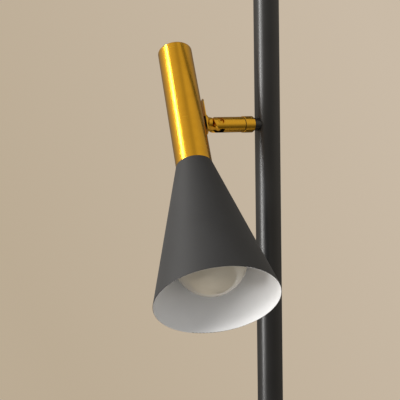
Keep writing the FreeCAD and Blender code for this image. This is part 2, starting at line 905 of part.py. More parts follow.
def bulb_cap():
    # The bulb's screw cap, with a narrowed end and a rolled thread of plain rings.
    outer = bulb_cap_dia / 2
    low = -bulb_neck_start
    high = low + bulb_cap_length
    rings = 3
    pitch = (bulb_cap_length - bulb_cap_dia / 3) / rings
    groove = bulb_cap_wall
    outline = [(0, low + bulb_cap_wall), (outer - bulb_cap_wall, low + bulb_cap_wall)]
    outline.append((outer - bulb_cap_wall, low))
    outline.append((outer, low))
    start = low + bulb_cap_dia / 8
    outline.append((outer, start))
    for ring in range(rings):
        foot = start + ring * pitch
        outline.append(((outer - groove, foot + pitch / 2), (outer, foot + pitch)))
    outline.append((outer / 2, high))
    outline.append((0, high))
    return turned(outline)


def bulb_contact():
    # The dark insulator and the solder point at the end of the cap.
    low = -bulb_neck_start + bulb_cap_length
    high = bulb_contact_top()
    outer = bulb_cap_dia / 2
    step = (high - low) / 2
    return turned([
        (0, low),
        (outer / 2, low),
        (outer / 3, low + step),
        (outer / 6, low + step),
        (0, high),
    ])


def bulb_outline(inset):
    # Half of the globe's outline: a short neck, a hollow flank and a sphere that meet in tangents.
    neck_r = bulb_neck_dia / 2 - inset
    ball_r = bulb_dia / 2 - inset
    flank_r = bulb_flank + inset
    centre = -bulb_centre_drop
    rise = math.sqrt((ball_r + flank_r) ** 2 - (neck_r + flank_r) ** 2)
    flank_at = (neck_r + flank_r, centre + rise)
    meet = math.degrees(math.atan2(rise, neck_r + flank_r))
    ball = arc_step((0, centre), ball_r, meet, -90)
    flank_back = arc_step(flank_at, flank_r, full_turn / 2, full_turn / 2 + meet)
    return neck_r, flank_at[1], flank_back, ball


def bulb_glass():
    top = -bulb_neck_start + bulb_cap_wall - running_gap
    neck_r, flank_top, flank, ball = bulb_outline(0)
    outer = turned([(0, top), (neck_r, top), (neck_r, flank_top), flank, ball])
    neck_r, flank_top, flank, ball = bulb_outline(bulb_wall)
    inner = turned([(0, flank_top + bulb_wall), (neck_r, flank_top + bulb_wall), (neck_r, flank_top), flank, ball])
    shoulder = tube(bulb_neck_dia, bulb_cap_dia / 2 - bulb_cap_wall - press_gap, -bulb_neck_start, top)
    return outer.cut(inner).cut(shoulder)


def shade():
    # A spun cone: a neck spigot inside the head tube, a shoulder under it and a rounded lip.
    neck_r = shade_neck_dia / 2
    mouth_r = shade_mouth_dia / 2
    spigot_r = head_radius(-head_drop, head_wall + press_gap)
    top = -head_drop - press_gap
    low = top - shade_length
    lean = math.atan2(mouth_r - neck_r, shade_length)
    across = shade_wall / math.cos(lean)
    lip_mid = mouth_r - across / 2
    return turned([
        (spigot_r - shade_wall, top + shade_spigot),
        (spigot_r, top + shade_spigot),
        (spigot_r, top),
        (neck_r - shade_wall / 3, top),
        (neck_r, top - shade_wall / 3),
        (mouth_r, low + shade_wall / 2),
        ((lip_mid, low), (mouth_r - across, low + shade_wall / 2)),
        (spigot_r - shade_wall, top - (spigot_r - neck_r + across - shade_wall) / math.tan(lean)),
    ])


def head_parts():
    lead_start = plate_inner_r - plate_gap - neck_spigot_length
    lead_low = bracket_floor - bracket_thick - holder_nipple_down
    lead = bent_lead([(lead_start, 0, 0), (0, 0, 0), (0, 0, lead_low)], [lead_bend], lead_dia / 2)
    parts = {
        "knuckle_neck": knuckle_neck(),
        "back_plate": back_plate(),
        "saddle_spacer": saddle_spacer(),
        "head_tube": head_tube(),
        "head_cap": head_cap(),
        "holder_bracket": holder_bracket(),
        "neck_nut": neck_nut(),
        "holder_nipple": holder_nipple(),
        "holder_nut": holder_nut(),
        "lampholder_body": lampholder_body(),
        "screw_shell": screw_shell(),
        "centre_contact": centre_contact(),
        "bulb_cap": bulb_cap(),
        "bulb_contact": bulb_contact(),
        "bulb_glass": bulb_glass(),
        "shade": shade(),
        "head_lead": lead,
    }
    return {name: on_head(shape) for name, shape in parts.items()}


# ---- telescoping tube, clamp and sprung plunger ----
def clamp_parts():
    # A split collar: a skirt over the pole, a closer bore on the telescoping tube, and two ears with a screw.
    outer = clamp_dia / 2
    skirt_r = pole_r + running_gap
    grip_r = telescope_r + running_gap
    low = pole_top - clamp_skirt
    high = pole_top + clamp_head
    edge = (outer - pole_r) / 3
    blank = turned([
        (skirt_r, low),
        (outer - edge, low),
        (outer, low + edge),
        (outer, high - edge),
        (outer - edge, high),
        (grip_r, high),
        (grip_r, pole_top),
        (skirt_r, pole_top),
    ])
    ear_half = clamp_ear_width / 2
    ear_low = pole_top
    ear_high = ear_low + clamp_ear_height
    ears = box((pole_r, -ear_half, ear_low), (clamp_ear_reach, ear_half, ear_high))
    corner = clamp_ear_height / 4
    outer_edges = [edge_ for edge_ in ears.Edges if is_along_y(edge_) and edge_.CenterOfMass.x > outer]
    ears = ears.makeFillet(corner, outer_edges)
    ears = ears.cut(cylinder(outer - edge, ear_low, ear_high))
    slot = box((0, -clamp_slot / 2, low), (clamp_ear_reach, clamp_slot / 2, high))
    screw_x = (outer + clamp_ear_reach) / 2
    screw_z = (ear_low + ear_high) / 2
    hole_r = clamp_screw_dia / 2 + thread_gap
    hole = rod(hole_r, (screw_x, -ear_half, screw_z), (0, 1, 0), clamp_ear_width)
    collar = blank.fuse(ears).cut(slot).cut(hole).removeSplitter()
    screw, nut = clamp_fastener(ear_half)
    at = Vector(screw_x, 0, screw_z)
    for piece in (screw, nut):
        piece.rotate(Vector(0, 0, 0), Vector(1, 0, 0), -90)
        piece.translate(at)
    return {"clamp_collar": collar, "clamp_screw": screw, "clamp_nut": nut}


def is_along_y(edge):
    return abs(edge.tangentAt(edge.FirstParameter).y) > 0.99


def clamp_fastener(ear_half):
    # A socket-head screw through both ears and the nut behind them, made about Z.
    shank = clamp_screw_dia / 2
    head = clamp_screw_head_dia / 2
    head_top = -ear_half - clamp_screw_head_height
    nut_top = ear_half + clamp_nut_height
    edge = head / 8
    screw = turned([
        (0, head_top),
        (head - edge, head_top),
        (head, head_top + edge),
        (head, -ear_half),
        (shank, -ear_half),
        (shank, nut_top + edge),
        (0, nut_top + edge),
    ])
    screw = screw.cut(hexagon(head, head_top, head_top + clamp_screw_head_height / 2))
    nut = hex_nut(clamp_nut_flats, shank + thread_gap, ear_half, nut_top)
    return screw, nut


def seat_pin_at():
    return seat_top - seat_height / 2


def telescope_parts():
    pin_hole = rod(seat_pin_dia / 2 + press_gap, (0, -telescope_r, seat_pin_at()), (0, 1, 0), telescope_dia)
    body = tube(telescope_r, telescope_bore_r, telescope_bottom, telescope_top).cut(pin_hole)
    shank_r = telescope_bore_r - press_gap
    bush_bottom = telescope_bottom - slide_bush_height
    slide_bush = turned([
        (coupler_bore / 2, bush_bottom),
        (pole_bore_r - running_gap, bush_bottom),
        (pole_bore_r - running_gap, telescope_bottom),
        (shank_r, telescope_bottom),
        (shank_r, telescope_bottom + slide_bush_shank),
        (coupler_bore / 2, telescope_bottom + slide_bush_shank),
    ])
    seat = cylinder(shank_r, seat_top - seat_height, seat_top).cut(pin_hole)
    pin_half = telescope_r - body_gap
    pin = rod(seat_pin_dia / 2, (0, -pin_half, seat_pin_at()), (0, 1, 0), 2 * pin_half)
    bush_bore = plunger_r + running_gap
    lip_r = plunger_bush_lip_dia / 2
    lip_top = telescope_top + plunger_bush_lip
    edge = plunger_bush_lip / 4
    plunger_bush = turned([
        (bush_bore, telescope_top - plunger_bush_height),
        (shank_r, telescope_top - plunger_bush_height),
        (shank_r, telescope_top),
        (lip_r, telescope_top),
        (lip_r, lip_top - edge),
        (lip_r - edge, lip_top),
        (bush_bore, lip_top),
    ])
    return {
        "telescope_tube": body,
        "slide_bush": slide_bush,
        "spring_seat": seat,
        "spring_seat_pin": pin,
        "plunger_bush": plunger_bush,
        "tension_spring": tension_spring(),
    }


def plunger_parts():
    guide_r = telescope_bore_r - running_gap
    shank_r = plunger_bore_r - press_gap
    guide = turned([
        (0, guide_bottom),
        (guide_r, guide_bottom),
        (guide_r, guide_top),
        (shank_r, guide_top),
        (shank_r, guide_top + plunger_guide_shank),
        (0, guide_top + plunger_guide_shank),
    ])
    return {
        "plunger_tube": tube(plunger_r, plunger_bore_r, guide_top, plunger_top),
        "plunger_guide": guide,
    }


def tension_spring():
    # A round wire compression spring with close end turns, wound as quarter-turn arcs through a rising curve.
    coil_r = (spring_dia - spring_wire) / 2
    wire_r = spring_wire / 2
    close_rise = spring_wire + body_gap + press_gap + thread_gap
    length = spring_rest - 2 * body_gap - spring_wire
    open_rise = (length - 2 * close_rise) / (spring_turns - 2)
    start = seat_top + body_gap + wire_r

    def height(turn):
        ends = min(turn, 1.0) + max(turn - (spring_turns - 1), 0.0)
        return start + ends * close_rise + (turn - ends) * open_rise

    def at(turn):
        angle = 2 * math.pi * turn
        return Vector(coil_r * math.cos(angle), coil_r * math.sin(angle), height(turn))

    edges = []
    for quarter in range(4 * spring_turns):
        turn = quarter / 4
        edges.append(Part.Arc(at(turn), at(turn + 0.125), at(turn + 0.25)).toShape())
    path = Part.Wire(edges)
    direction = edges[0].tangentAt(edges[0].FirstParameter)
    section = Part.Wire(Part.makeCircle(wire_r, at(0), direction))
    print("spring least gap between turns", round(close_rise - spring_wire, 2))
    return path.makePipeShell([section], True, False)


def pole_lead():
    # The supply wire inside the pole, from the cord inlet up to the arm and out through the hollow nipple.
    inlet_face = pole_bore_r - running_gap - inlet_flange_thick
    route = [
        (inlet_face, 0, inlet_height),
        (0, 0, inlet_height),
        (0, 0, arm_height),
        (-nipple_end, 0, arm_height),
    ]
    return bent_lead(route, [inlet_bend, lead_bend], lead_dia / 2)


def main():
    os.makedirs("parts", exist_ok=True)
    parts = {"cord_grommet": cord_grommet(), "pole_lead": pole_lead()}
    groups = (
        foot_parts,
        pole_tubes,
        coupler_parts,
        boss_parts,
        arm_parts,
        head_parts,
        clamp_parts,
        telescope_parts,
        plunger_parts,
        ceiling_parts,
    )
    for group in groups:
        parts.update(group())
    for name, shape in parts.items():
        if not shape.isValid():
            print("not valid:", name)
        shape.exportStep("parts/" + name + ".step")
    print(len(parts), "parts, lamp height", round(lamp_top, 1))


main()
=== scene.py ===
import math

import bpy
from mathutils import Matrix, Vector

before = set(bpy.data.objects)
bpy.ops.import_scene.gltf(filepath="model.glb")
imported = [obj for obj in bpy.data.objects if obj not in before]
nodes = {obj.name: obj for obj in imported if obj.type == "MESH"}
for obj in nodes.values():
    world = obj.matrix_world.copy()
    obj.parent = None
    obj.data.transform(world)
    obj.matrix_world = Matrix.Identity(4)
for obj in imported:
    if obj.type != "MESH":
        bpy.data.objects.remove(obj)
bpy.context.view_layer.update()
print("lamp frame loaded:", len(nodes), "solids")


# helpers that make and link shader nodes
def addNode(tree, kind, **values):
    node = tree.nodes.new(kind)
    for key, value in values.items():
        setattr(node, key, value)
    return node


def join(tree, source, target):
    tree.links.new(source, target)


def mathStep(tree, operation, first, second=None, third=None, clamp=False):
    # one Math node; numbers are typed in, sockets are linked
    node = addNode(tree, "ShaderNodeMath", operation=operation, use_clamp=clamp)
    for socket, value in zip(node.inputs, (first, second, third)):
        if value is None:
            continue
        if isinstance(value, (int, float)):
            socket.default_value = value
        else:
            join(tree, value, socket)
    return node.outputs[0]


def rescale(tree, value, lowIn, highIn, lowOut=0.0, highOut=1.0):
    node = addNode(tree, "ShaderNodeMapRange", clamp=True)
    join(tree, value, node.inputs["Value"])
    for socket, number in zip(list(node.inputs)[1:5], (lowIn, highIn, lowOut, highOut)):
        if isinstance(number, (int, float)):
            socket.default_value = number
        else:
            join(tree, number, socket)
    return node.outputs[0]


def mixColour(tree, share, first, second, blend="MIX"):
    node = addNode(tree, "ShaderNodeMix", data_type="RGBA", blend_type=blend)
    for socket, value in zip((node.inputs[0], node.inputs[6], node.inputs[7]), (share, first, second)):
        if isinstance(value, (int, float)):
            socket.default_value = value
        elif isinstance(value, tuple):
            socket.default_value = (*value, 1.0)
        else:
            join(tree, value, socket)
    return node.outputs[2]


def noiseField(tree, vector, scale, detail=2.0, roughness=0.5):
    node = addNode(tree, "ShaderNodeTexNoise")
    join(tree, vector, node.inputs["Vector"])
    node.inputs["Scale"].default_value = scale
    node.inputs["Detail"].default_value = detail
    node.inputs["Roughness"].default_value = roughness
    return node.outputs["Fac"]


def startGroup(name, inputs, outputs):
    tree = bpy.data.node_groups.new(name, "ShaderNodeTree")
    for label, kind, value in inputs:
        socket = tree.interface.new_socket(name=label, in_out="INPUT", socket_type=kind)
        socket.default_value = value
    for label, kind in outputs:
        tree.interface.new_socket(name=label, in_out="OUTPUT", socket_type=kind)
    return tree, addNode(tree, "NodeGroupInput"), addNode(tree, "NodeGroupOutput")


def placeGroup(tree, group, **values):
    # a group in a material, with its own numbers; keys are the socket names without spaces
    node = addNode(tree, "ShaderNodeGroup", node_tree=group)
    for socket in node.inputs:
        key = socket.name.replace(" ", "")
        key = key[0].lower() + key[1:]
        if key in values:
            value = values[key]
            if isinstance(value, bpy.types.NodeSocket):
                join(tree, value, socket)
            else:
                socket.default_value = value
    return node


# effects that several materials share, as node groups
def buildPieceAxis():
    # coordinates about a piece's own axis: a unit direction round it, the distance along it and out from it
    tree, start, end = startGroup("pieceAxis", [
        ("Origin", "NodeSocketVector", (0, 0, 0)),
        ("Turn", "NodeSocketVector", (0, 0, 0)),
    ], [
        ("Around", "NodeSocketVector"),
        ("Along", "NodeSocketFloat"),
        ("Radius", "NodeSocketFloat"),
    ])
    place = addNode(tree, "ShaderNodeTexCoord")
    local = addNode(tree, "ShaderNodeMapping", vector_type="TEXTURE")
    join(tree, place.outputs["Object"], local.inputs["Vector"])
    join(tree, start.outputs["Origin"], local.inputs["Location"])
    join(tree, start.outputs["Turn"], local.inputs["Rotation"])
    parts = addNode(tree, "ShaderNodeSeparateXYZ")
    join(tree, local.outputs[0], parts.inputs[0])
    flat = addNode(tree, "ShaderNodeCombineXYZ")
    join(tree, parts.outputs[0], flat.inputs[0])
    join(tree, parts.outputs[1], flat.inputs[1])
    unit = addNode(tree, "ShaderNodeVectorMath", operation="NORMALIZE")
    join(tree, flat.outputs[0], unit.inputs[0])
    length = addNode(tree, "ShaderNodeVectorMath", operation="LENGTH")
    join(tree, flat.outputs[0], length.inputs[0])
    join(tree, unit.outputs[0], end.inputs["Around"])
    join(tree, parts.outputs[2], end.inputs["Along"])
    join(tree, length.outputs["Value"], end.inputs["Radius"])
    return tree


def buildFineLines():
    # polishing and turning lines: Fine is how close they are round the piece, Stretch how close along it
    tree, start, end = startGroup("fineLines", [
        ("Around", "NodeSocketVector", (0, 0, 0)),
        ("Along", "NodeSocketFloat", 0.0),
        ("Fine", "NodeSocketFloat", 4.0),
        ("Stretch", "NodeSocketFloat", 2000.0),
    ], [
        ("Lines", "NodeSocketFloat"),
        ("Scratches", "NodeSocketFloat"),
    ])
    scaled = addNode(tree, "ShaderNodeVectorMath", operation="SCALE")
    join(tree, start.outputs["Around"], scaled.inputs[0])
    join(tree, start.outputs["Fine"], scaled.inputs["Scale"])
    height = mathStep(tree, "MULTIPLY", start.outputs["Along"], start.outputs["Stretch"])
    lift = addNode(tree, "ShaderNodeCombineXYZ")
    join(tree, height, lift.inputs[2])
    both = addNode(tree, "ShaderNodeVectorMath", operation="ADD")
    join(tree, scaled.outputs[0], both.inputs[0])
    join(tree, lift.outputs[0], both.inputs[1])
    lines = noiseField(tree, both.outputs[0], 1.0, 3.0, 0.6)
    join(tree, lines, end.inputs["Lines"])
    coarse = noiseField(tree, both.outputs[0], 0.31, 1.0, 0.5)
    join(tree, rescale(tree, coarse, 0.62, 0.74), end.inputs["Scratches"])
    return tree


def buildPowderCoat():
    # powder coat: a fine pebbled height, a slow change of tone and a slow change of gloss
    tree, start, end = startGroup("powderCoat", [
        ("Pebble Scale", "NodeSocketFloat", 900.0),
        ("Cloud Scale", "NodeSocketFloat", 18.0),
    ], [
        ("Height", "NodeSocketFloat"),
        ("Tone", "NodeSocketFloat"),
        ("Haze", "NodeSocketFloat"),
    ])
    place = addNode(tree, "ShaderNodeTexCoord")
    pebble = addNode(tree, "ShaderNodeTexNoise")
    join(tree, place.outputs["Object"], pebble.inputs["Vector"])
    join(tree, start.outputs["Pebble Scale"], pebble.inputs["Scale"])
    pebble.inputs["Detail"].default_value = 2.0
    cloud = addNode(tree, "ShaderNodeTexNoise")
    join(tree, place.outputs["Object"], cloud.inputs["Vector"])
    join(tree, start.outputs["Cloud Scale"], cloud.inputs["Scale"])
    cloud.inputs["Detail"].default_value = 4.0
    join(tree, pebble.outputs["Fac"], end.inputs["Height"])
    join(tree, rescale(tree, cloud.outputs["Fac"], 0.3, 0.7), end.inputs["Tone"])
    speck = mathStep(tree, "MULTIPLY", pebble.outputs["Fac"], 0.4)
    haze = mathStep(tree, "MULTIPLY_ADD", cloud.outputs["Fac"], 0.6, speck)
    join(tree, rescale(tree, haze, 0.3, 0.7), end.inputs["Haze"])
    return tree


def buildEdgeWear():
    # a broken line along sharp edges, where handling polishes or rubs them
    tree, start, end = startGroup("edgeWear", [
        ("Width", "NodeSocketFloat", 0.0004),
        ("Breakup", "NodeSocketFloat", 300.0),
    ], [
        ("Mask", "NodeSocketFloat"),
    ])
    bevel = addNode(tree, "ShaderNodeBevel", samples=4)
    join(tree, start.outputs["Width"], bevel.inputs["Radius"])
    shape = addNode(tree, "ShaderNodeNewGeometry")
    dot = addNode(tree, "ShaderNodeVectorMath", operation="DOT_PRODUCT")
    join(tree, bevel.outputs[0], dot.inputs[0])
    join(tree, shape.outputs["Normal"], dot.inputs[1])
    edge = rescale(tree, dot.outputs["Value"], 0.99, 0.86)
    place = addNode(tree, "ShaderNodeTexCoord")
    broken = addNode(tree, "ShaderNodeTexNoise")
    join(tree, place.outputs["Object"], broken.inputs["Vector"])
    join(tree, start.outputs["Breakup"], broken.inputs["Scale"])
    patch = rescale(tree, broken.outputs["Fac"], 0.38, 0.62, 0.25, 1.0)
    join(tree, mathStep(tree, "MULTIPLY", edge, patch, clamp=True), end.inputs["Mask"])
    return tree


def buildSmudges():
    # faint hand marks and dust that dull a polished face in patches
    tree, start, end = startGroup("smudges", [
        ("Size", "NodeSocketFloat", 55.0),
    ], [
        ("Mask", "NodeSocketFloat"),
    ])
    place = addNode(tree, "ShaderNodeTexCoord")
    broad = addNode(tree, "ShaderNodeTexNoise")
    join(tree, place.outputs["Object"], broad.inputs["Vector"])
    join(tree, start.outputs["Size"], broad.inputs["Scale"])
    broad.inputs["Detail"].default_value = 5.0
    broad.inputs["Distortion"].default_value = 0.8
    join(tree, rescale(tree, broad.outputs["Fac"], 0.45, 0.72), end.inputs["Mask"])
    return tree


pieceAxis = buildPieceAxis()
fineLines = buildFineLines()
powderCoat = buildPowderCoat()
edgeWear = buildEdgeWear()
smudges = buildSmudges()
print("shared effects built")


# the lamp's own axes, at rest
lampPose = {
    "armHeight": 1.5,
    "pivotOut": 0.0594,       # pole axis to hinge screw
    "headOut": 0.0342,        # hinge screw to the head's axis
    "armRoll": 36.0,
    "headTilt": 12.25,
}


def headTurn():
    tilt = Matrix.Rotation(math.radians(lampPose["headTilt"]), 3, "Y")
    roll = Matrix.Rotation(math.radians(-lampPose["armRoll"]), 3, "X")
    return roll @ tilt


pivotPoint = Vector((-lampPose["pivotOut"], 0, lampPose["armHeight"]))
headPoint = pivotPoint + headTurn() @ Vector((-lampPose["headOut"], 0, 0))
hingeWay = headTurn() @ Vector((0, 1, 0))
poleAxis = {"origin": (0, 0, 0), "turn": (0, 0, 0)}
armAxis = {"origin": (0, 0, lampPose["armHeight"]), "turn": (0, math.radians(-90), 0)}
headAxis = {"origin": tuple(headPoint), "turn": tuple(headTurn().to_euler("XYZ"))}


# materials
def startMaterial(name, **plain):
    # plain values go straight on the shader's sockets
    material = bpy.data.materials.new(name)
    material.use_nodes = True
    tree = material.node_tree
    shader = tree.nodes["Principled BSDF"]
    for key, value in plain.items():
        label = {"specular": "Specular IOR Level", "ior": "IOR"}.get(key)
        if label is None:
            label = "".join(" " + c if c.isupper() else c for c in key).title()
        shader.inputs[label].default_value = value
    return material, tree, shader


def bumpFrom(tree, height, strength, distance, normal=None):
    bump = addNode(tree, "ShaderNodeBump")
    bump.inputs["Strength"].default_value = strength
    bump.inputs["Distance"].default_value = distance
    join(tree, height, bump.inputs["Height"])
    if normal is not None:
        join(tree, normal, bump.inputs["Normal"])
    return bump.outputs[0]


def paintMaterial(name, look):
    # matte powder coat over metal, with pale rubbed edges
    material, tree, shader = startMaterial(name, specular=look["specular"])
    coat = placeGroup(tree, powderCoat, pebbleScale=look["pebbles"], cloudScale=look["clouds"])
    wear = placeGroup(tree, edgeWear, width=look["edgeWidth"])
    tone = mixColour(tree, coat.outputs["Tone"], look["deep"], look["pale"])
    rubbed = mathStep(tree, "MULTIPLY", wear.outputs["Mask"], look["edgeShare"])
    join(tree, mixColour(tree, rubbed, tone, look["edgeColour"]), shader.inputs["Base Color"])
    gloss = rescale(tree, coat.outputs["Haze"], 0.0, 1.0, look["roughLow"], look["roughHigh"])
    join(tree, gloss, shader.inputs["Roughness"])
    normal = bumpFrom(tree, coat.outputs["Height"], look["bump"], look["bumpDepth"])
    join(tree, normal, shader.inputs["Normal"])
    return material


def slotShadeMask(tree, place, look):
    # painted shade mask for the fork's slot: 1 within half the slot's width of its middle, and either past
    # its floor or near the arm's axis
    spot = addNode(tree, "ShaderNodeTexCoord")
    across = addNode(tree, "ShaderNodeVectorMath", operation="DOT_PRODUCT")
    shifted = addNode(tree, "ShaderNodeVectorMath", operation="SUBTRACT")
    join(tree, spot.outputs["Object"], shifted.inputs[0])
    shifted.inputs[1].default_value = pivotPoint
    join(tree, shifted.outputs[0], across.inputs[0])
    across.inputs[1].default_value = hingeWay
    near = mathStep(tree, "LESS_THAN", mathStep(tree, "ABSOLUTE", across.outputs["Value"]), look["slotHalf"])
    deep = mathStep(tree, "GREATER_THAN", place.outputs["Along"], look["slotFloor"])
    core = mathStep(tree, "LESS_THAN", place.outputs["Radius"], look["slotRound"])
    return mathStep(tree, "MULTIPLY", near, mathStep(tree, "MAXIMUM", deep, core))


def brassMaterial(name, look, axis):
    # brass with turning or polishing lines that follow the piece's own axis
    material, tree, shader = startMaterial(name, metallic=1.0)
    place = placeGroup(tree, pieceAxis, origin=axis["origin"], turn=axis["turn"])
    lines = placeGroup(
        tree, fineLines, around=place.outputs["Around"], along=place.outputs["Along"],
        fine=look["fine"], stretch=look["stretch"],
    )
    marks = placeGroup(tree, smudges, size=look["smudgeSize"])
    wear = placeGroup(tree, edgeWear, width=look["edgeWidth"])
    metal = mixColour(tree, lines.outputs["Lines"], look["deep"], look["bright"])
    dulled = mathStep(tree, "MULTIPLY", marks.outputs["Mask"], look["smudgeShare"])
    metal = mixColour(tree, dulled, metal, look["tarnish"])
    polished = mathStep(tree, "MULTIPLY", wear.outputs["Mask"], look["edgeShare"])
    metal = mixColour(tree, polished, metal, look["edgeColour"])
    rough = mathStep(tree, "MULTIPLY_ADD", lines.outputs["Lines"], look["roughSpread"], look["rough"])
    if "slotHalf" in look:
        slot = slotShadeMask(tree, place, look)
        # the slot's faces are painted near-black as painted shade in the recess, and made rougher
        metal = mixColour(tree, slot, metal, look["slotColour"])
        rough = mathStep(tree, "MULTIPLY_ADD", slot, look["slotRough"], rough)
    join(tree, metal, shader.inputs["Base Color"])
    rough = mathStep(tree, "MULTIPLY_ADD", dulled, look["smudgeRough"], rough)
    rough = mathStep(tree, "MULTIPLY_ADD", lines.outputs["Scratches"], look["scratchRough"], rough)
    join(tree, rough, shader.inputs["Roughness"])
    normal = bumpFrom(tree, lines.outputs["Lines"], look["bump"], look["bumpDepth"])
    join(tree, normal, shader.inputs["Normal"])
    return material


def give(material, *names):
    for name in names:
        mesh = nodes[name].data
        mesh.materials.clear()
        mesh.materials.append(material)


poleLook = {
    "deep": (0.0080, 0.0081, 0.0084),
    "pale": (0.0120, 0.0121, 0.0124),
    "edgeColour": (0.12, 0.12, 0.12),
    "edgeShare": 0.25,
    "edgeWidth": 0.0004,
    "specular": 0.66,
    "pebbles": 1400.0,
    "clouds": 22.0,
    "roughLow": 0.29,
    "roughHigh": 0.35,
    "bump": 0.12,
    "bumpDepth": 0.00025,
}
polePaint = paintMaterial("charcoalPolePaint", poleLook)
give(polePaint, "pole_tube_lower", "pole_tube_middle", "pole_tube_upper", "arm_boss")
give(polePaint, "coupler_lower", "coupler_upper")

flangeLook = dict(poleLook, pebbles=700.0, bump=0.25, roughLow=0.42, roughHigh=0.55, edgeShare=0.4)
give(paintMaterial("charcoalCasting", flangeLook), "foot_flange", "ceiling_flange", "clamp_collar")


def slideMaterial(name, look):
    # a painted tube that slides through another piece: lengthwise rub lines show through the paint
    material, tree, shader = startMaterial(name, specular=0.5)
    coat = placeGroup(tree, powderCoat, pebbleScale=look["pebbles"], cloudScale=look["clouds"])
    place = placeGroup(tree, pieceAxis, origin=poleAxis["origin"], turn=poleAxis["turn"])
    rubs = placeGroup(
        tree, fineLines, around=place.outputs["Around"], along=place.outputs["Along"],
        fine=look["fine"], stretch=look["stretch"],
    )
    tone = mixColour(tree, coat.outputs["Tone"], look["deep"], look["pale"])
    share = mathStep(tree, "MULTIPLY", rubs.outputs["Scratches"], look["rubShare"])
    join(tree, mixColour(tree, share, tone, look["rubColour"]), shader.inputs["Base Color"])
    gloss = rescale(tree, coat.outputs["Haze"], 0.0, 1.0, look["roughLow"], look["roughHigh"])
    join(tree, mathStep(tree, "MULTIPLY_ADD", share, look["rubRough"], gloss), shader.inputs["Roughness"])
    normal = bumpFrom(tree, coat.outputs["Height"], look["bump"], look["bumpDepth"])
    join(tree, normal, shader.inputs["Normal"])
    return material


slideLook = dict(
    poleLook, fine=60.0, stretch=14.0, roughLow=0.28, roughHigh=0.38, bumpDepth=0.0002,
    rubShare=0.35, rubRough=-0.15, rubColour=(0.09, 0.09, 0.092),
)
give(slideMaterial("charcoalSlidingTube", slideLook), "telescope_tube", "plunger_tube")
print("pole finished")


shadeLook = {
    "neckDrop": 0.0558,        # head axis, from the pivot's level to the shade's neck
    "length": 0.1486,
    "neckRadius": 0.01765,
    "mouthRadius": 0.0583,
    "wall": 0.0009,
    "outsideDeep": (0.022, 0.0222, 0.0228),
    "outsidePale": (0.030, 0.0302, 0.0308),
    "insideDeep": (0.78, 0.78, 0.78),
    "insidePale": (0.85, 0.85, 0.85),
    "pebbles": 1500.0,
    "clouds": 16.0,
    "spunRings": 900.0,
    "ringFine": 1.5,
    "ringBump": 0.05,
    "roughLow": 0.50,
    "roughHigh": 0.60,
    "bump": 0.12,
    "bumpDepth": 0.0002,
}


def shadeMaterial(look):
    # one painted cone: charcoal outside, white inside and on the inner half of the lip
    material, tree, shader = startMaterial("shadePaint", specular=0.35, sheenWeight=0.06, sheenRoughness=0.35)
    place = placeGroup(tree, pieceAxis, origin=headAxis["origin"], turn=headAxis["turn"])
    depth = mathStep(tree, "MULTIPLY", place.outputs["Along"], -1.0)
    drop = look["neckDrop"]
    middle = rescale(
        tree, depth, drop, drop + look["length"],
        look["neckRadius"] - look["wall"] / 2, look["mouthRadius"] - look["wall"] / 2,
    )
    gap = mathStep(tree, "SUBTRACT", middle, place.outputs["Radius"])
    white = mathStep(tree, "GREATER_THAN", gap, 0.0)
    coat = placeGroup(tree, powderCoat, pebbleScale=look["pebbles"], cloudScale=look["clouds"])
    rings = placeGroup(
        tree, fineLines, around=place.outputs["Around"], along=place.outputs["Along"],
        fine=look["ringFine"], stretch=look["spunRings"],
    )
    outside = mixColour(tree, coat.outputs["Tone"], look["outsideDeep"], look["outsidePale"])
    lining = mixColour(tree, coat.outputs["Tone"], look["insideDeep"], look["insidePale"])
    join(tree, mixColour(tree, white, outside, lining), shader.inputs["Base Color"])
    gloss = rescale(tree, coat.outputs["Haze"], 0.0, 1.0, look["roughLow"], look["roughHigh"])
    join(tree, gloss, shader.inputs["Roughness"])
    ringed = bumpFrom(tree, rings.outputs["Lines"], look["ringBump"], look["bumpDepth"])
    pebbled = bumpFrom(tree, coat.outputs["Height"], look["bump"], look["bumpDepth"], ringed)
    join(tree, pebbled, shader.inputs["Normal"])
    return material


give(shadeMaterial(shadeLook), "shade")
print("shade painted")


tubeLook = {
    "deep": (0.74, 0.385, 0.024),
    "bright": (0.82, 0.450, 0.038),
    "tarnish": (0.64, 0.32, 0.02),
    "edgeColour": (0.92, 0.66, 0.20),
    "edgeShare": 0.5,
    "edgeWidth": 0.0003,
    "fine": 3.0,
    "stretch": 2600.0,
    "smudgeSize": 45.0,
    "smudgeShare": 0.35,
    "smudgeRough": 0.10,
    "rough": 0.17,
    "roughSpread": 0.07,
    "scratchRough": 0.06,
    "bump": 0.06,
    "bumpDepth": 0.00005,
}
give(brassMaterial("polishedBrassTube", tubeLook, headAxis), "head_tube")
give(brassMaterial("turnedBrassCap", dict(tubeLook, bump=0.1), headAxis), "head_cap")
armLook = dict(tubeLook, bright=(0.84, 0.48, 0.05), stretch=3200.0, rough=0.20, bump=0.1)
give(brassMaterial("turnedBrassArm", armLook, armAxis), "arm_tube", "arm_collar")
# the fork's slot gets a near-black colour: painted shade inside the slot
forkLook = dict(
    armLook, edgeShare=0.7, slotHalf=0.00304, slotFloor=0.0550, slotRound=0.0065,
    slotColour=(0.05, 0.025, 0.006), slotRough=0.3,
)
give(brassMaterial("forkBrass", forkLook, armAxis), "fork_end")
knuckleLook = dict(armLook, fine=160.0, stretch=160.0, rough=0.24, smudgeShare=0.5, bump=0.14)
knuckleBrass = brassMaterial("milledBrassKnuckle", knuckleLook, headAxis)
give(knuckleBrass, "knuckle_neck", "back_plate", "hinge_screw", "hinge_nut")
print("brass finished")


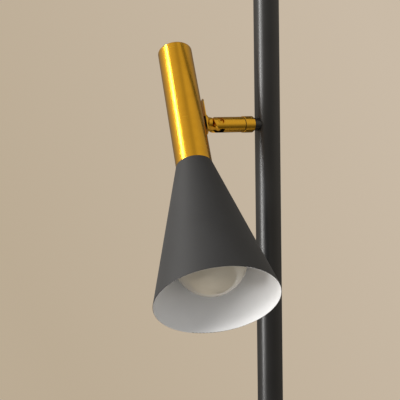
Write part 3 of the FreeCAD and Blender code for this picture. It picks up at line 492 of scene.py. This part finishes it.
def metalMaterial(name, look, axis):
    # plated or bare steel: fine grain, slow tone and bright edges
    material, tree, shader = startMaterial(name, metallic=1.0)
    place = placeGroup(tree, pieceAxis, origin=axis["origin"], turn=axis["turn"])
    lines = placeGroup(
        tree, fineLines, around=place.outputs["Around"], along=place.outputs["Along"],
        fine=look["fine"], stretch=look["stretch"],
    )
    marks = placeGroup(tree, smudges, size=look["smudgeSize"])
    wear = placeGroup(tree, edgeWear, width=look["edgeWidth"])
    tone = mixColour(tree, lines.outputs["Lines"], look["deep"], look["bright"])
    stained = mathStep(tree, "MULTIPLY", marks.outputs["Mask"], look["stainShare"])
    tone = mixColour(tree, stained, tone, look["stain"])
    join(tree, mixColour(tree, wear.outputs["Mask"], tone, look["edgeColour"]), shader.inputs["Base Color"])
    rough = rescale(tree, marks.outputs["Mask"], 0.0, 1.0, look["rough"], look["rough"] + look["stainRough"])
    join(tree, rough, shader.inputs["Roughness"])
    normal = bumpFrom(tree, lines.outputs["Lines"], look["bump"], look["bumpDepth"])
    join(tree, normal, shader.inputs["Normal"])
    return material


zincLook = {
    "deep": (0.50, 0.50, 0.49),
    "bright": (0.64, 0.64, 0.62),
    "stain": (0.46, 0.45, 0.40),
    "edgeColour": (0.78, 0.78, 0.76),
    "fine": 90.0,
    "stretch": 700.0,
    "smudgeSize": 160.0,
    "stainShare": 0.4,
    "stainRough": 0.15,
    "edgeWidth": 0.0002,
    "rough": 0.28,
    "bump": 0.1,
    "bumpDepth": 0.00005,
}
zincPole = metalMaterial("zincPlatedSteel", zincLook, poleAxis)
give(zincPole, "foot_screw", "ceiling_screw", "foot_plug", "plunger_plug", "coupler_insert_lower")
give(zincPole, "coupler_insert_upper", "clamp_screw", "clamp_nut", "spring_seat", "spring_seat_pin")
zincArm = metalMaterial("zincPlatedArmSteel", zincLook, armAxis)
give(zincArm, "arm_inner_nut", "arm_saddle_washer", "arm_nipple", "swivel_stop_pin", "arm_nut")
zincHead = metalMaterial("zincPlatedHeadSteel", zincLook, headAxis)
give(zincHead, "neck_nut", "holder_bracket", "holder_nipple", "holder_nut")
springLook = dict(
    zincLook, deep=(0.16, 0.16, 0.17), bright=(0.26, 0.26, 0.27), stain=(0.12, 0.10, 0.08), rough=0.34,
)
give(metalMaterial("oiledSpringSteel", springLook, poleAxis), "tension_spring", "arm_spring_washer")
contactLook = dict(
    zincLook, deep=(0.62, 0.44, 0.16), bright=(0.76, 0.56, 0.24), stain=(0.45, 0.30, 0.12),
    edgeColour=(0.9, 0.74, 0.4),
)
give(metalMaterial("stampedContactBrass", contactLook, headAxis), "screw_shell", "centre_contact")
capLook = dict(
    zincLook, deep=(0.66, 0.66, 0.66), bright=(0.80, 0.80, 0.79), stretch=240.0, fine=2.0, rough=0.22,
)
give(metalMaterial("rolledBulbCap", capLook, headAxis), "bulb_cap")
print("steel and contacts finished")


def mouldedMaterial(name, look):
    # rubber, nylon and moulded plastic: a mottled tone, a moulded grain and dusty or shiny edges
    material, tree, shader = startMaterial(name, specular=look["specular"])
    coat = placeGroup(tree, powderCoat, pebbleScale=look["grain"], cloudScale=look["clouds"])
    wear = placeGroup(tree, edgeWear, width=look["edgeWidth"], breakup=look["edgeBreakup"])
    tone = mixColour(tree, coat.outputs["Tone"], look["deep"], look["pale"])
    edge = mathStep(tree, "MULTIPLY", wear.outputs["Mask"], look["edgeShare"])
    join(tree, mixColour(tree, edge, tone, look["edgeColour"]), shader.inputs["Base Color"])
    gloss = rescale(tree, coat.outputs["Haze"], 0.0, 1.0, look["roughLow"], look["roughHigh"])
    join(tree, gloss, shader.inputs["Roughness"])
    normal = bumpFrom(tree, coat.outputs["Height"], look["bump"], look["bumpDepth"])
    join(tree, normal, shader.inputs["Normal"])
    return material


rubberLook = {
    "deep": (0.012, 0.012, 0.012),
    "pale": (0.024, 0.023, 0.022),
    "edgeColour": (0.07, 0.068, 0.062),
    "edgeShare": 0.5,
    "edgeWidth": 0.0005,
    "edgeBreakup": 420.0,
    "specular": 0.35,
    "grain": 620.0,
    "clouds": 60.0,
    "roughLow": 0.62,
    "roughHigh": 0.82,
    "bump": 0.35,
    "bumpDepth": 0.0003,
}
give(mouldedMaterial("blackRubber", rubberLook), "floor_pad", "ceiling_pad", "cord_grommet")
nylonLook = dict(
    rubberLook, deep=(0.014, 0.014, 0.014), roughLow=0.38, roughHigh=0.5, bump=0.12, specular=0.5,
)
nylon = mouldedMaterial("blackNylon", nylonLook)
give(nylon, "swivel_washer", "hinge_washers", "slide_bush", "plunger_bush", "plunger_guide", "saddle_spacer")
holderLook = dict(
    rubberLook, pale=(0.020, 0.018, 0.017), roughLow=0.18, roughHigh=0.3, bump=0.05, specular=0.6,
)
give(mouldedMaterial("mouldedHolder", holderLook), "lampholder_body", "bulb_contact")


leadLook = {
    "deep": (0.020, 0.020, 0.021),
    "pale": (0.055, 0.055, 0.057),
    "braid": 2600.0,
    "braidTurn": 6.28,
    "lean": 45.0,
    "uneven": 0.4,
    "bump": 0.4,
    "bumpDepth": 0.0002,
}


def leadMaterial(look):
    # a woven sleeve: two slanting sets of threads
    material, tree, shader = startMaterial("wovenLeadSleeve", specular=0.3)
    place = addNode(tree, "ShaderNodeTexCoord")
    threads = []
    for lean in (math.radians(look["lean"]), math.radians(-look["lean"])):
        turned = addNode(tree, "ShaderNodeMapping")
        turned.inputs["Rotation"].default_value = (lean, 0, lean)
        join(tree, place.outputs["Object"], turned.inputs["Vector"])
        wave = addNode(tree, "ShaderNodeTexWave", bands_direction="Z")
        wave.inputs["Scale"].default_value = look["braid"] / look["braidTurn"]
        wave.inputs["Distortion"].default_value = look["uneven"]
        join(tree, turned.outputs[0], wave.inputs["Vector"])
        threads.append(wave.outputs["Fac"])
    weave = mathStep(tree, "MAXIMUM", threads[0], threads[1])
    join(tree, mixColour(tree, weave, look["deep"], look["pale"]), shader.inputs["Base Color"])
    join(tree, rescale(tree, weave, 0.0, 1.0, 0.85, 0.65), shader.inputs["Roughness"])
    join(tree, bumpFrom(tree, weave, look["bump"], look["bumpDepth"]), shader.inputs["Normal"])
    return material


give(leadMaterial(leadLook), "pole_lead", "arm_lead", "head_lead")


bulbLook = {
    # beige tint on a soft-white bulb: painted warm room light and reflection
    "deep": (0.60, 0.555, 0.455),
    "pale": (0.67, 0.625, 0.525),
    "frost": 2600.0,
    "clouds": 30.0,
    "roughLow": 0.10,
    "roughHigh": 0.16,
    "bump": 0.04,
    "bumpDepth": 0.0001,
}


def bulbMaterial(look):
    # soft-white glass: a milky body under a glossy skin; its base colour is tinted beige as painted warm room
    # light and reflection
    material, tree, shader = startMaterial(
        "softWhiteBulb", specular=0.5, ior=1.5, coatWeight=0.6, coatRoughness=0.05, transmissionWeight=0.15,
    )
    coat = placeGroup(tree, powderCoat, pebbleScale=look["frost"], cloudScale=look["clouds"])
    join(tree, mixColour(tree, coat.outputs["Tone"], look["deep"], look["pale"]), shader.inputs["Base Color"])
    gloss = rescale(tree, coat.outputs["Haze"], 0.0, 1.0, look["roughLow"], look["roughHigh"])
    join(tree, gloss, shader.inputs["Roughness"])
    normal = bumpFrom(tree, coat.outputs["Height"], look["bump"], look["bumpDepth"])
    join(tree, normal, shader.inputs["Normal"])
    return material


give(bulbMaterial(bulbLook), "bulb_glass")
print("moulded pieces, leads and bulb finished")


# camera, lights, room and floor
cameraLook = {
    "lens": 135.0,
    "sensor": 36.0,
    "place": (-0.8643, -1.2267, 1.51053),
    "turn": -32.56,
    "pitch": -3.27,
    "roll": -0.77,
}


def placeCamera(look):
    data = bpy.data.cameras.new("photoView")
    data.lens = look["lens"]
    data.sensor_width = look["sensor"]
    camera = bpy.data.objects.new("photoView", data)
    turn = Matrix.Rotation(math.radians(look["turn"]), 4, "Z")
    pitch = Matrix.Rotation(math.radians(90 + look["pitch"]), 4, "X")
    roll = Matrix.Rotation(math.radians(look["roll"]), 4, "Z")
    camera.matrix_world = Matrix.Translation(look["place"]) @ turn @ pitch @ roll
    bpy.context.scene.collection.objects.link(camera)
    bpy.context.scene.camera = camera


placeCamera(cameraLook)

lampLights = {
    "tallBox": {
        "angle": 177.0, "rise": 3.0, "away": 2.2, "width": 0.6, "height": 1.5,
        "power": 42.0, "colour": (1.0, 0.99, 0.975), "inMetal": True,
    },
    "keyBox": {
        "angle": 177.0, "rise": 5.0, "away": 2.3, "width": 0.3, "height": 0.25,
        "power": 16.0, "colour": (1.0, 0.99, 0.98), "inMetal": False,
    },
    "softBox": {
        "angle": -162.0, "rise": 28.0, "away": 2.2, "width": 0.8, "height": 0.8,
        "power": 15.0, "colour": (1.0, 0.99, 0.975), "inMetal": False,
    },
    "topStrip": {
        "angle": 146.0, "rise": 38.5, "away": 2.2, "width": 0.12, "height": 0.8,
        "power": 15.0, "colour": (1.0, 0.99, 0.97), "inMetal": True,
    },
}


def placeLight(name, look, target):
    data = bpy.data.lights.new(name, "AREA")
    data.shape = "RECTANGLE"
    data.size = look["width"]
    data.size_y = look["height"]
    data.energy = look["power"]
    data.color = look["colour"]
    light = bpy.data.objects.new(name, data)
    bearing = math.radians(look["angle"])
    rise = math.radians(look["rise"])
    way = Vector((math.cos(rise) * math.cos(bearing), math.cos(rise) * math.sin(bearing), math.sin(rise)))
    light.location = target + way * look["away"]
    light.rotation_mode = "QUATERNION"
    light.rotation_quaternion = way.to_track_quat("Z", "Y")
    light.visible_glossy = look["inMetal"]
    light.visible_camera = False
    bpy.context.scene.collection.objects.link(light)


lightTarget = Vector((-0.08, -0.03, 1.45))
for lightName, lightLook in lampLights.items():
    placeLight(lightName, lightLook, lightTarget)

roomLook = {
    "wallLeft": (0.500, 0.410, 0.297),
    "wallRight": (0.590, 0.495, 0.385),
    "diffuse": (0.47, 0.47, 0.47),
    # what polished metal sees, going round from behind the lamp, past the left, the front and the right
    "reflected": [
        (0.00, 0.14), (0.12, 0.36), (0.16, 0.44), (0.215, 0.80), (0.26, 0.64), (0.34, 0.56),
        (0.50, 0.36), (0.60, 0.36), (0.68, 0.54), (0.76, 0.55), (0.84, 0.38), (0.93, 0.16),
    ],
    # and how much of it is left at each height, from straight down to straight up
    "byHeight": [
        (0.00, 0.14), (0.14, 0.17), (0.30, 0.26), (0.42, 0.55),
        (0.52, 0.92), (0.68, 1.25), (0.86, 1.20), (1.00, 1.30),
    ],
    "heightTop": 1.5,
    "warmth": (1.0, 0.90, 0.76),
    "wallSlope": 3.2,
    "wallRise": 1.5,
    "wallMiddle": 0.55,
}


def buildRoom(look):
    # a plain beige room: one look for the camera, one for what metal reflects and a soft level for the rest
    world = bpy.data.worlds.new("beigeRoom")
    bpy.context.scene.world = world
    world.use_nodes = True
    tree = world.node_tree
    tree.nodes.clear()
    end = addNode(tree, "ShaderNodeOutputWorld")
    place = addNode(tree, "ShaderNodeTexCoord")
    turned = addNode(tree, "ShaderNodeMapping")
    turned.inputs["Rotation"].default_value = (0, 0, math.radians(-cameraLook["turn"]))
    join(tree, place.outputs["Generated"], turned.inputs["Vector"])
    parts = addNode(tree, "ShaderNodeSeparateXYZ")
    join(tree, turned.outputs[0], parts.inputs[0])
    across = mathStep(tree, "MULTIPLY_ADD", parts.outputs[0], look["wallSlope"], look["wallMiddle"])
    across = mathStep(tree, "MULTIPLY_ADD", parts.outputs[2], look["wallRise"], across, clamp=True)
    wall = mixColour(tree, across, look["wallLeft"], look["wallRight"])
    angle = mathStep(tree, "ARCTAN2", parts.outputs[0], mathStep(tree, "MULTIPLY", parts.outputs[1], -1.0))
    share = mathStep(tree, "MULTIPLY_ADD", angle, 0.5 / math.pi, 0.5)
    ramp = addNode(tree, "ShaderNodeValToRGB")
    join(tree, share, ramp.inputs[0])
    stops = ramp.color_ramp.elements
    for index, (spot, level) in enumerate(look["reflected"]):
        stop = stops[index] if index < 2 else stops.new(spot)
        stop.position = spot
        stop.color = (*(level * part for part in look["warmth"]), 1.0)
    height = mathStep(tree, "MULTIPLY_ADD", parts.outputs[2], 0.5, 0.5)
    fade = addNode(tree, "ShaderNodeFloatCurve")
    curve = fade.mapping.curves[0]
    for index, (spot, amount) in enumerate(look["byHeight"]):
        if index < 2:
            curve.points[index].location = (spot, amount / look["heightTop"])
        else:
            curve.points.new(spot, amount / look["heightTop"])
    fade.mapping.update()
    join(tree, height, fade.inputs["Value"])
    lit = mathStep(tree, "MULTIPLY", fade.outputs[0], look["heightTop"])
    kind = addNode(tree, "ShaderNodeLightPath")
    mirror = mixColour(tree, 1.0, ramp.outputs[0], lit, "MULTIPLY")
    soft = mixColour(tree, kind.outputs["Is Glossy Ray"], look["diffuse"], mirror)
    seen = mathStep(tree, "MAXIMUM", kind.outputs["Is Camera Ray"], kind.outputs["Is Transmission Ray"])
    light = addNode(tree, "ShaderNodeBackground")
    join(tree, mixColour(tree, seen, soft, wall), light.inputs["Color"])
    join(tree, light.outputs[0], end.inputs["Surface"])


buildRoom(roomLook)

floorLook = {
    "size": 2.4,
    "cloudScale": 3.0,
    "cloudDetail": 4.0,
    "deep": (0.46, 0.385, 0.295),
    "pale": (0.52, 0.44, 0.345),
}


def layFloor(look):
    half = look["size"] / 2
    mesh = bpy.data.meshes.new("paleFloor")
    corners = [(-half, -half, 0), (half, -half, 0), (half, half, 0), (-half, half, 0)]
    mesh.from_pydata(corners, [], [(0, 1, 2, 3)])
    floor = bpy.data.objects.new("paleFloor", mesh)
    bpy.context.scene.collection.objects.link(floor)
    material, tree, shader = startMaterial("paleFloorFinish", specular=0.2, roughness=0.85)
    place = addNode(tree, "ShaderNodeTexCoord")
    cloud = noiseField(tree, place.outputs["Object"], look["cloudScale"], look["cloudDetail"])
    join(tree, mixColour(tree, cloud, look["deep"], look["pale"]), shader.inputs["Base Color"])
    mesh.materials.append(material)


layFloor(floorLook)
print("camera, lights and room placed")

scene = bpy.context.scene
scene.view_settings.view_transform = "Standard"
